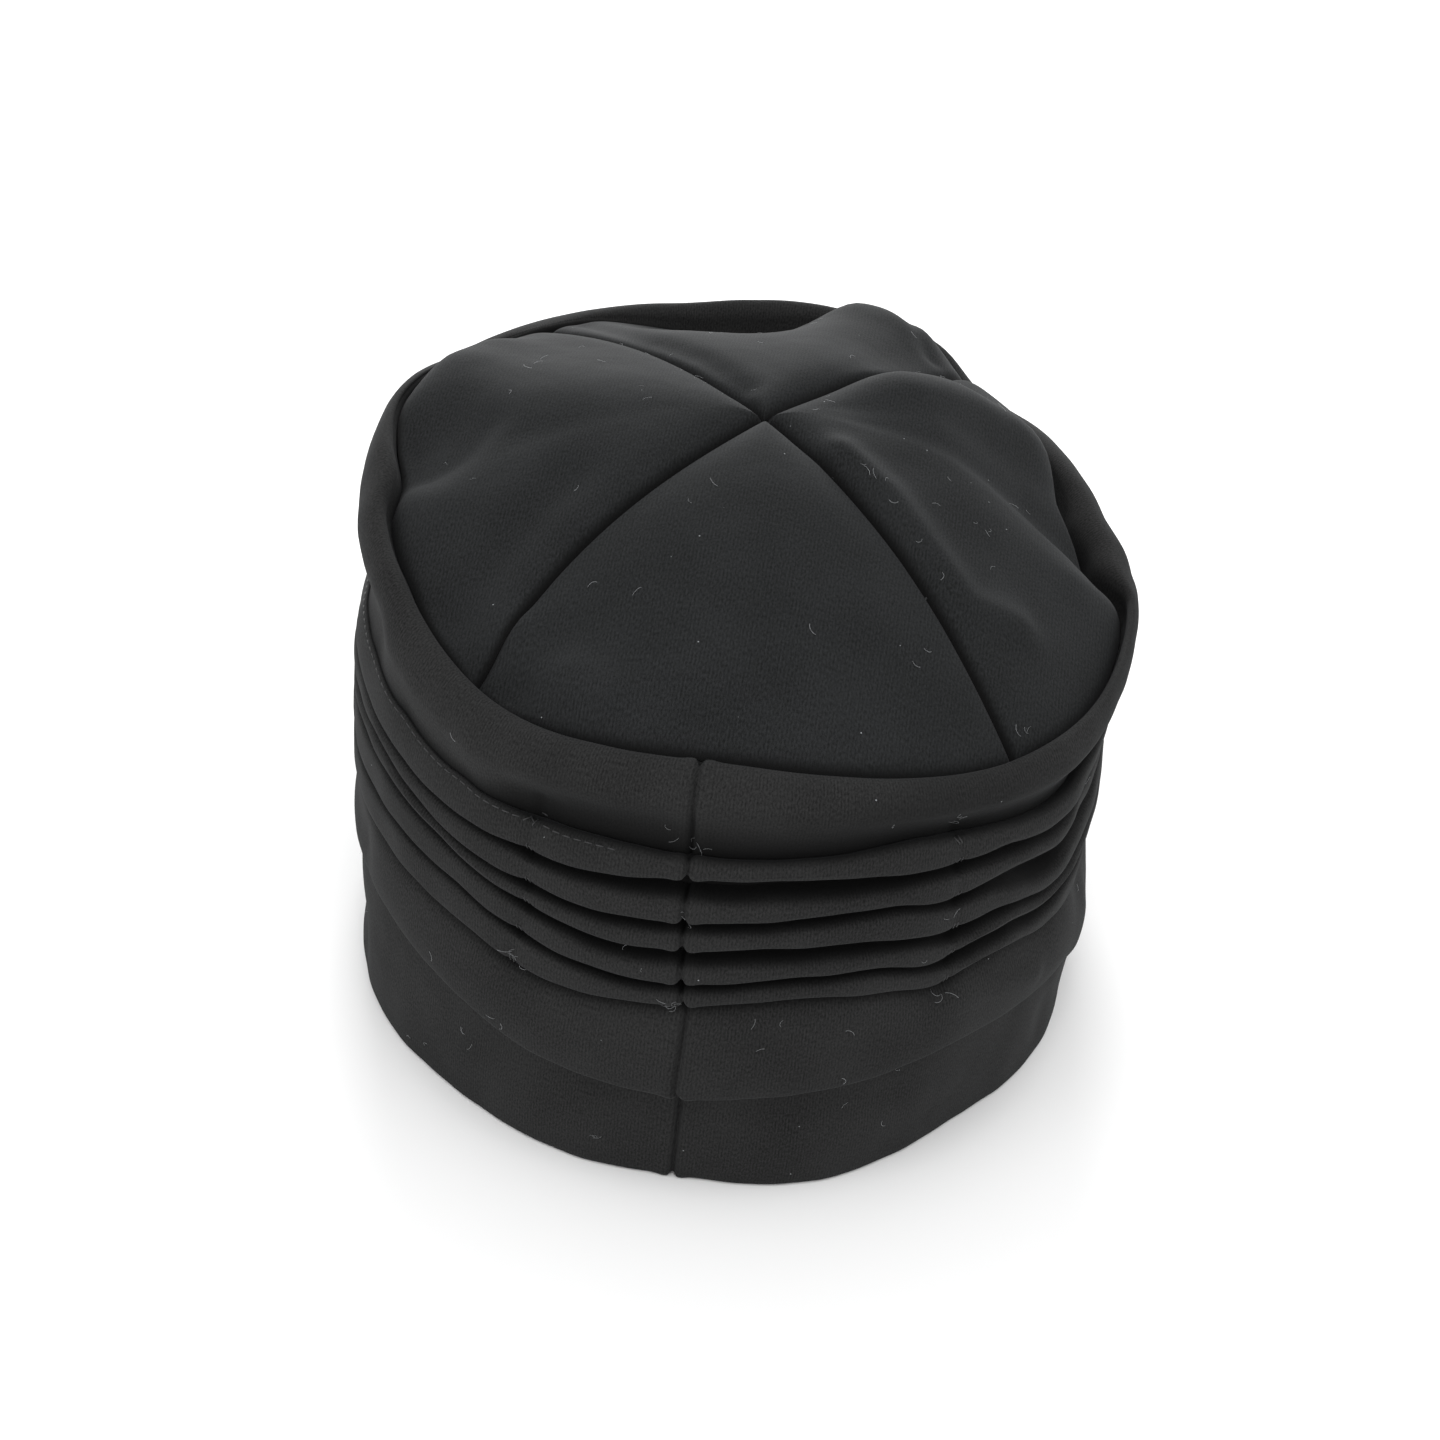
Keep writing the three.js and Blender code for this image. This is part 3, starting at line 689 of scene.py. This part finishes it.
# ---- Tip panels ----
def tip_edge(angles):
    """Points of the tip seam."""
    seam = height_at("tip_seam", angles)
    reach = reach_at("tip_seam", angles) - side_dent(angles, seam)
    return np.stack([*plan_points(reach, TIP_DEPTH_RATIO, angles), seam], axis=-1)


def tip_form(across, back):
    """Ridges and hollows of the tip at points of the plan."""
    total = np.zeros_like(across)
    for path, wide, lift in TIP_FORMS:
        parts = [near_line(across, back, start, end, wide) for start, end in zip(path, path[1:])]
        total += lift * np.max(parts, axis=0)
    return total


def panel_shares():
    """How far out towards the tip seam each row of a panel lies, 0 to 1, and how far across
    each column, -1 to 1. Both are closest at the seams."""
    shares = mix(APEX_HOLE, 1, 1 - (1 - np.linspace(0, 1, PANEL_ROWS)) ** 1.5)[:, None]
    across = np.sin(np.linspace(-0.5, 0.5, PANEL_COLUMNS) * math.pi)
    across = 0.5 * across + 0.5 * np.sign(across) * (1 - (1 - np.abs(across)) ** 1.4)
    return shares, across[None, :]


def panel_height(place, seam, shares, across, beside, inside):
    """The height of a panel at each place of the plan: a dome from the tip seam up to the
    apex, puffed, with its ridges and hollows, and turned down into its seams."""
    swell = np.sin(math.pi * np.minimum(1, shares ** 0.8 * 0.93)) ** 0.7
    height = seam + (APEX.z - seam) * (1 - shares ** 2)
    height = height + PUFF * (1 - across ** 2) * swell
    form_share = 1 - np.exp(-(inside / EDGE_FADE) ** 1.3)
    height = height + tip_form(place[..., 0], place[..., 1]) * form_share
    near = np.exp(-(beside / SEAM_ROLL) ** 1.4)
    height = height - SEAM_DEPTH * near - SEAM_SINK * np.exp(-(beside / SEAM_SINK_WIDE) ** 2)
    return height - RIM_DEPTH * np.exp(-(inside / SEAM_ROLL) ** 1.4)


def panel_grid(index):
    """The outer face of one tip panel, from the apex to the tip seam, with its seam
    allowances turned down along three sides, and the painted shade of each point, by how
    far inside a seam it lies."""
    start, start_bow = TIP_SEAMS[index]
    end, end_bow = TIP_SEAMS[(index + 1) % len(TIP_SEAMS)]
    end += 360 if end < start else 0
    shares, across = panel_shares()
    bow = np.sin(math.pi * shares)
    edge = tip_edge(mix(start + start_bow * bow, end + end_bow * bow, (across + 1) / 2))
    centre = np.array(APEX[:2])
    place = mix(centre, edge[..., :2], shares[..., None])
    width = np.linalg.norm(place[:, -1] - place[:, 0], axis=1)[:, None]
    beside = (1 - np.abs(across)) * width / 2
    inside = (1 - shares) * PANEL_LENGTH
    height = panel_height(place, edge[..., 2], shares, across, beside, inside)
    outward = edge[..., :2] - centre
    outward = outward / np.linalg.norm(outward, axis=-1)[..., None]
    sideways = np.stack([-outward[..., 1], outward[..., 0]], axis=-1)
    place = place + sideways * (-across * SEAM_OVERLAP)[..., None]
    face = np.concatenate([place, height[..., None]], axis=-1)
    down = np.array([0, 0, -ALLOWANCE])
    face = np.concatenate([face[:, :1] + down, face, face[:, -1:] + down], axis=1)
    # Painted shade along the seams, full on the turned-down allowances.
    painted_shade = np.maximum(bell(beside, SEAM_DARK), bell(inside, SEAM_DARK))
    painted_shade = np.pad(painted_shade, ((0, 1), (1, 1)), constant_values=1)
    return np.concatenate([face, face[-1:] + down], axis=0), painted_shade


def tip_panel(index):
    """One puffed panel of jersey between two seams."""
    grid, painted_shade = panel_grid(index)
    panel = grid_mesh(f"tip_panel_{TIP_PANELS[index]}_jersey", grid[:, ::-1], closed=False)
    set_painted_shade(panel, painted_shade[:, ::-1])
    wall = panel.modifiers.new("cloth thickness", "SOLIDIFY")
    wall.thickness = TIP_WALL * MM
    wall.offset = -1
    bpy.context.view_layer.objects.active = panel
    deselect_all()
    panel.select_set(True)
    bpy.ops.object.modifier_apply(modifier=wall.name)
    return panel


# ---- Threads and lint ----
def pick_faces(thing, wanted):
    """In edit mode, selects the faces whose middle passes the test."""
    mesh = bmesh.from_edit_mesh(thing.data)
    for face in mesh.faces:
        face.select_set(wanted(face.calc_center_median()))
    mesh.select_flush_mode()
    bmesh.update_edit_mesh(thing.data)


def stitch_model(length):
    """One stitch of thread along x, its ends turned down into the cloth."""
    deselect_all()
    bpy.ops.mesh.primitive_cylinder_add(vertices=6, radius=THREAD / 2 * MM, depth=length * MM,
                                        rotation=(0, math.pi / 2, 0))
    stitch = bpy.context.object
    bpy.ops.object.transform_apply()
    bpy.ops.object.mode_set(mode="EDIT")
    on, down = STITCH_TURN
    for way in (-1, 1):
        pick_faces(stitch, lambda middle: middle.x * way > STITCH_END * length * MM)
        bpy.ops.mesh.extrude_region_move(
            TRANSFORM_OT_translate={"value": (on * way * MM, 0, -down * MM)})
        bpy.ops.transform.resize(value=(STITCH_TAPER, STITCH_TAPER, STITCH_TAPER))
    bpy.ops.object.mode_set(mode="OBJECT")
    return stitch


def fibre_model(bend, thick, turn):
    """One loose fibre: an arc of the given bend radius that lies in the xy plane."""
    deselect_all()
    bpy.ops.mesh.primitive_circle_add(vertices=5, radius=thick / 2 * MM, fill_type="NGON",
                                      location=(bend * MM, 0, 0), rotation=(math.pi / 2, 0, 0))
    fibre = bpy.context.object
    bpy.ops.object.transform_apply()
    bpy.ops.object.mode_set(mode="EDIT")
    bpy.ops.mesh.select_all(action="SELECT")
    bpy.ops.mesh.spin(steps=7, angle=math.radians(turn), axis=(0, 0, 1))
    bpy.ops.mesh.select_all(action="SELECT")
    bpy.ops.mesh.normals_make_consistent()
    bpy.ops.transform.translate(value=(-bend * MM, 0, 0))
    bpy.ops.object.mode_set(mode="OBJECT")
    return fibre


def on_wall(cloth, angle, height):
    """The point and normal of the cloth seen level from outside at an angle and height."""
    across, back = plan_points(RAY_REACH, DEPTH_RATIO, np.array([angle]))
    start = Vector((across[0], back[0], height)) * MM
    point, normal, _, _ = cloth.ray_cast(start, Vector((-start.x, -start.y, 0)).normalized())
    return point, normal


def on_tip(cloth, across, back):
    """The point and normal of the cloth straight below a point of the plan."""
    start = Vector((across, back, RAY_HEIGHT)) * MM
    point, normal, _, _ = cloth.ray_cast(start, Vector((0, 0, -1)))
    return point, normal


def laid_on(point, normal, along):
    """Puts a shape's origin at the point, its z up the normal and its x near along."""
    side = normal.cross(along).normalized()
    turn = Matrix((side.cross(normal), side, normal)).transposed().to_4x4()
    return Matrix.Translation(point) @ turn


def joined_copies(name, copies):
    """One piece from (model, matrix) pairs."""
    deselect_all()
    for model, matrix in copies:
        mesh = model.data.copy()
        mesh.transform(matrix)
        bpy.context.view_layer.objects.active = linked_object(name, mesh)
        bpy.context.object.select_set(True)
    bpy.ops.object.join()
    piece = bpy.context.object
    piece.name = piece.data.name = name
    piece.data.shade_smooth()
    return piece


def all_points_and_faces(pieces):
    """The points and faces of all the pieces as one list of each."""
    points, faces = [], []
    for piece in pieces:
        first = len(points)
        points.extend(vertex.co for vertex in piece.data.vertices)
        faces.extend([first + corner for corner in face.vertices] for face in piece.data.polygons)
    return points, faces


def topstitching(cloth):
    """The row of stitches that holds the upper pleat's lip to the crown band."""
    model = stitch_model(STITCH)
    start, end = TOPSTITCHED
    angles = np.arange(start, end, STITCH_STEP / ARC_PER_DEGREE)
    heights = lip_height(angles) - STITCH_BELOW
    places = [on_wall(cloth, *place) for place in zip(angles, heights)]
    copies = [(model, laid_on(point, normal, after - point))
              for (point, normal), (after, _) in zip(places, places[1:])]
    piece = joined_copies("topstitching_thread", copies)
    bpy.data.objects.remove(model)
    return piece


def tack_stitches(cloth):
    """Short upright stitches that hold the pleats at the tacks, two at each pleat's edge."""
    model = stitch_model(TACK_STITCH)
    copies = []
    half = TACK_STITCH / 2
    for line in TACKS:
        for course in PLEATS + ["pleat_top"]:
            angle = line_angle(line, height_at(course, np.array([line[2][1]])))[0]
            lift = -half if course == "pleat_top" else half + TACK_ABOVE
            height = height_at(course, np.array([angle]))[0] + lift
            for beside in TACK_BESIDE:
                point, normal = on_wall(cloth, angle + beside, height)
                copies.append((model, laid_on(point, normal, TACK_UP)))
    piece = joined_copies("tack_stitch_thread", copies)
    bpy.data.objects.remove(model)
    return piece


def loose_fibres(name, cloth, spots, model_sizes, seed):
    """Fibres that cling to the cloth at the spots."""
    chance = random.Random(seed)
    models = [fibre_model(*size) for size in model_sizes]
    copies = []
    for kind, first, second, count in spots:
        look = on_wall if kind == "wall" else on_tip
        spread = CLUSTER if count > 1 else 0
        for _ in range(count):
            first_here = first + chance.uniform(-spread, spread)
            second_here = second + chance.uniform(-spread, spread)
            point, normal = look(cloth, first_here, second_here)
            lean = Vector([chance.uniform(-1, 1) for _ in range(3)])
            up = (normal + lean * FIBRE_LEAN).normalized()
            place = laid_on(point + normal * FIBRE_LIFT * MM, up, lean.cross(normal))
            size = chance.uniform(*FIBRE_SIZES)
            copies.append((chance.choice(models), place @ Matrix.Scale(size, 4)))
    piece = joined_copies(name, copies)
    for model in models:
        bpy.data.objects.remove(model)
    return piece


def scattered_spots(count, seed):
    """Spots spread unevenly over the wall and the tip."""
    chance = random.Random(seed)
    spots = []
    for _ in range(count):
        if chance.random() < WALL_SHARE:
            spots.append(("wall", chance.uniform(0, 360), chance.uniform(*WALL_HEIGHTS), 1))
        else:
            turn, reach = chance.uniform(0, 2 * math.pi), TIP_RADIUS * math.sqrt(chance.random())
            spots.append(("tip", reach * math.cos(turn), reach * math.sin(turn), 1))
    return spots


# ---- Materials ----
def linear(code):
    """The linear colour of an sRGB hex value."""
    parts = [int(code[index:index + 2], 16) / 255 for index in (1, 3, 5)]
    return (*[part / 12.92 if part <= 0.04045 else ((part + 0.055) / 1.055) ** 2.4
              for part in parts], 1)


def add_node(tree, kind, settings=None, **links):
    """Adds a node, sets its values and links its inputs."""
    node = tree.nodes.new(kind)
    for key, value in (settings or {}).items():
        if isinstance(key, str) and hasattr(node, key):
            setattr(node, key, value)
        else:
            node.inputs[key].default_value = value
    for key, source in links.items():
        socket = int(key[1:]) if key[1:].isdigit() else key.replace("_", " ")
        tree.links.new(source, node.inputs[socket])
    return node


def new_material(name, **settings):
    """A material's node tree and shader, with constants set on the shader."""
    material = bpy.data.materials.new(name)
    material.use_nodes = True
    shader = material.node_tree.nodes["Principled BSDF"]
    for key, value in settings.items():
        shader.inputs[key.replace("_", " ")].default_value = value
    return material, material.node_tree, shader


WALE = 0.00075  # metres between two rows of knit, drawn half as coarse again to show
WAVE_TURN = 2 * math.pi / 20  # a wave texture of scale 1 repeats over this length
# How many of each fit in a metre.
NAP = (2600, 1400, 1)  # tufts of nap, 0.4 by 0.7 mm, drawn much coarser than hairs to show
PUCKER = 90  # soft unevenness of the knit, a centimetre across
FADED_PATCH = 45  # patches where the dye is a little paler, 2 cm across
LINT_CELL = 210  # cells 5 mm wide, and a third of them hold a speck
SPECK_SIZE = 0.03  # radius of a speck in cells
SPECK_SHARE = 0.35
FIBRE_SHADE = 900  # lighter and darker stretches of a fibre, 1 mm long
NAP_SHARE = 0.93  # how much of the weave is nap, the rest being wales


def jersey_weave(tree, cloth):
    """Faint upright wales under a nap, 0 to 1."""
    wales = add_node(tree, "ShaderNodeTexWave",
                     {"Scale": WAVE_TURN / WALE, "Distortion": 1.6, "Detail": 1,
                      "Detail Scale": 0.4}, Vector=cloth)
    tall = add_node(tree, "ShaderNodeMapping", {"Scale": NAP}, Vector=cloth)
    nap = add_node(tree, "ShaderNodeTexNoise", {"Scale": 1, "Detail": 4, "Roughness": 0.75},
                   Vector=tall.outputs["Vector"])
    weave = add_node(tree, "ShaderNodeMix", {"data_type": "FLOAT", 0: NAP_SHARE},
                     _2=wales.outputs["Fac"], _3=nap.outputs["Fac"])
    return weave.outputs[0]


def lint_specks(tree, space):
    """1 on small specks of lint and 0 elsewhere."""
    lint = add_node(tree, "ShaderNodeTexVoronoi", {"Scale": LINT_CELL}, Vector=space)
    speck = add_node(tree, "ShaderNodeMath", {"operation": "LESS_THAN", 1: SPECK_SIZE},
                     _0=lint.outputs["Distance"])
    chance = add_node(tree, "ShaderNodeSeparateColor", {}, Color=lint.outputs["Color"])
    few = add_node(tree, "ShaderNodeMath", {"operation": "LESS_THAN", 1: SPECK_SHARE},
                   _0=chance.outputs[0])
    spot = add_node(tree, "ShaderNodeMath", {"operation": "MULTIPLY"},
                    _0=speck.outputs[0], _1=few.outputs[0])
    return spot.outputs[0]


def jersey_colour(tree, weave, space, base, lit):
    """The dye, paler on the weave's high points and in patches; painted shade towards near
    black in folds, recesses and seams; and specks of lint on top."""
    broad = add_node(tree, "ShaderNodeTexNoise", {"Scale": FADED_PATCH, "Detail": 3}, Vector=space)
    shade = add_node(tree, "ShaderNodeMapRange",
                     {"From Min": 0.36, "From Max": 0.64}, Value=weave)
    patches = add_node(tree, "ShaderNodeMapRange",
                       {"From Min": 0.35, "From Max": 0.65, "To Min": -0.12, "To Max": 0.12},
                       Value=broad.outputs["Fac"])
    total = add_node(tree, "ShaderNodeMath", {"operation": "ADD", "use_clamp": True},
                     _0=shade.outputs[0], _1=patches.outputs[0])
    colour = add_node(tree, "ShaderNodeMix", {"data_type": "RGBA", 6: linear(base),
                                              7: linear(lit)}, _0=total.outputs[0])
    # Painted shade: the point attribute darkens the colour towards #101010 in folds, recesses and
    # seams.
    inner = add_node(tree, "ShaderNodeAttribute", {"attribute_name": "painted_shade"})
    painted_shade_mix = add_node(tree, "ShaderNodeMix", {"data_type": "RGBA", 7: linear("#101010")},
                    _0=inner.outputs["Fac"], _6=colour.outputs[2])
    finish = add_node(tree, "ShaderNodeMix", {"data_type": "RGBA", 7: linear("#8d9092")},
                      _0=lint_specks(tree, space), _6=painted_shade_mix.outputs[2])
    return finish.outputs[2]


def jersey_material(name, base, lit):
    """Brushed cotton jersey, knitted and dyed black: matt, with faint upright wales, a nap
    that catches light at grazing angles, and a little pale lint. In folds, recesses and
    seams its colour is darkened towards black as painted shade."""
    material, tree, shader = new_material(
        name, Roughness=0.92, Specular_IOR_Level=0.1, Sheen_Weight=0.03, Sheen_Roughness=0.55,
        Sheen_Tint=linear("#d6dade"))
    cloth = add_node(tree, "ShaderNodeUVMap", {"uv_map": "cloth"}).outputs["UV"]
    space = add_node(tree, "ShaderNodeTexCoord").outputs["Object"]
    weave = jersey_weave(tree, cloth)
    tree.links.new(jersey_colour(tree, weave, space, base, lit), shader.inputs["Base Color"])
    wobble = add_node(tree, "ShaderNodeTexNoise", {"Scale": PUCKER, "Detail": 2}, Vector=cloth)
    relief = add_node(tree, "ShaderNodeBump", {"Strength": 0.5, "Distance": 0.00012}, Height=weave)
    soft = add_node(tree, "ShaderNodeBump", {"Strength": 0.5, "Distance": 0.0006},
                    Height=wobble.outputs["Fac"], Normal=relief.outputs["Normal"])
    tree.links.new(soft.outputs["Normal"], shader.inputs["Normal"])
    return material


def fibre_material(name, dark, light, roughness):
    """Loose or twisted fibres: matt, and lighter here and darker there along each one."""
    material, tree, shader = new_material(name, Roughness=roughness)
    space = add_node(tree, "ShaderNodeTexCoord").outputs["Object"]
    along = add_node(tree, "ShaderNodeTexNoise", {"Scale": FIBRE_SHADE, "Detail": 2}, Vector=space)
    colour = add_node(tree, "ShaderNodeMix", {"data_type": "RGBA", 6: linear(dark),
                                              7: linear(light)}, _0=along.outputs["Fac"])
    tree.links.new(colour.outputs[2], shader.inputs["Base Color"])
    return material


# ---- Stage ----
CAMERA_PLACE = Vector((-24.5, 459.4, 375.1))
CAMERA_AIM = Vector((1.8, 42.7, 80.6))
CAMERA_ROLL = 6.72
CAMERA_LENS = 60.8


def facing(place, aim):
    """The matrix of a camera or light at a place, turned to look at the aim."""
    turn = (aim - place).to_track_quat("-Z", "Y").to_matrix().to_4x4()
    return Matrix.Translation(place) @ turn


def add_camera():
    """The camera behind and above the cap, tilted a little to one side."""
    camera = bpy.data.cameras.new("camera")
    camera.lens = CAMERA_LENS
    camera.sensor_width = 36
    camera.clip_start, camera.clip_end = 0.01, 50
    holder = linked_object("camera", camera)
    roll = Matrix.Rotation(math.radians(CAMERA_ROLL), 4, "Z")
    holder.matrix_world = facing(CAMERA_PLACE * MM, CAMERA_AIM * MM) @ roll
    bpy.context.scene.camera = holder


def add_light(name, place, aim, size, power):
    """A large soft box, its places and size in metres and its power in watts."""
    lamp = bpy.data.lights.new(name, "AREA")
    lamp.shape = "DISK"
    lamp.size = size
    lamp.energy = power
    linked_object(name, lamp).matrix_world = facing(Vector(place), Vector(aim))


def add_floor():
    """A white board under the cap, wide enough to fill the view."""
    deselect_all()
    bpy.ops.mesh.primitive_plane_add(size=8)
    floor = bpy.context.object
    floor.name = "floor"
    board, _, _ = new_material("painted_board", Base_Color=linear("#f6f6f6"), Roughness=0.9)
    floor.data.materials.append(board)


def light_the_stage():
    """An even white surround and three soft boxes."""
    world = bpy.data.worlds.new("studio")
    world.use_nodes = True
    surround = world.node_tree.nodes["Background"]
    surround.inputs["Color"].default_value = (1, 1, 1, 1)
    surround.inputs["Strength"].default_value = 1.08
    bpy.context.scene.world = world
    add_light("soft_box_above", (0, 0.3, 1.3), (0, 0, 0.08), 0.8, 4)
    add_light("soft_box_far", (0.3, -1.5, 0.5), (0, -0.05, 0.11), 0.7, 23)
    add_light("soft_box_left", (1.2, 0.9, 0.5), (0, 0, 0.03), 0.7, 2)
    bpy.context.scene.view_settings.view_transform = "Standard"


# ---- Assembly ----
def dress(piece, material):
    """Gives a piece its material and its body."""
    piece.data.materials.clear()
    piece.data.materials.append(material)
    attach(piece, "root")


band_jersey = jersey_material("brushed_jersey_band", "#141414", "#2d2d2d")
tip_jersey = jersey_material("brushed_jersey_tip", "#131414", "#28292a")
sewing_thread = fibre_material("spun_polyester_thread", "#1c1c1d", "#303132", 0.6)
pale_thread = fibre_material("frayed_polyester_thread", "#5d5f61", "#a5a7a9", 0.7)
cotton_lint = fibre_material("cotton_lint", "#75787a", "#c0c2c4", 0.9)

hem, pleated, crown = hem_band(), pleated_band(), crown_band()
for band, node in ((hem, "hem_band"), (pleated, "pleated_band"), (crown, "crown_band")):
    dress(band, band_jersey)
    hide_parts(node)

panels = [tip_panel(index) for index in range(len(TIP_PANELS))]
for panel, panel_name in zip(panels, TIP_PANELS):
    dress(panel, tip_jersey)
    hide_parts(f"tip_panel_{panel_name}")

cloth_tree = BVHTree.FromPolygons(*all_points_and_faces([hem, pleated, crown, *panels]))
dress(topstitching(cloth_tree), sewing_thread)
dress(tack_stitches(cloth_tree), sewing_thread)
dress(loose_fibres("frayed_thread_ends", cloth_tree, THREAD_ENDS, LONGER_FIBRES, 3), pale_thread)
lint_spots = LINT + scattered_spots(LINT_SCATTERED, 5)
dress(loose_fibres("lint", cloth_tree, lint_spots, FIBRES, 7), cotton_lint)

add_floor()
light_the_stage()
add_camera()
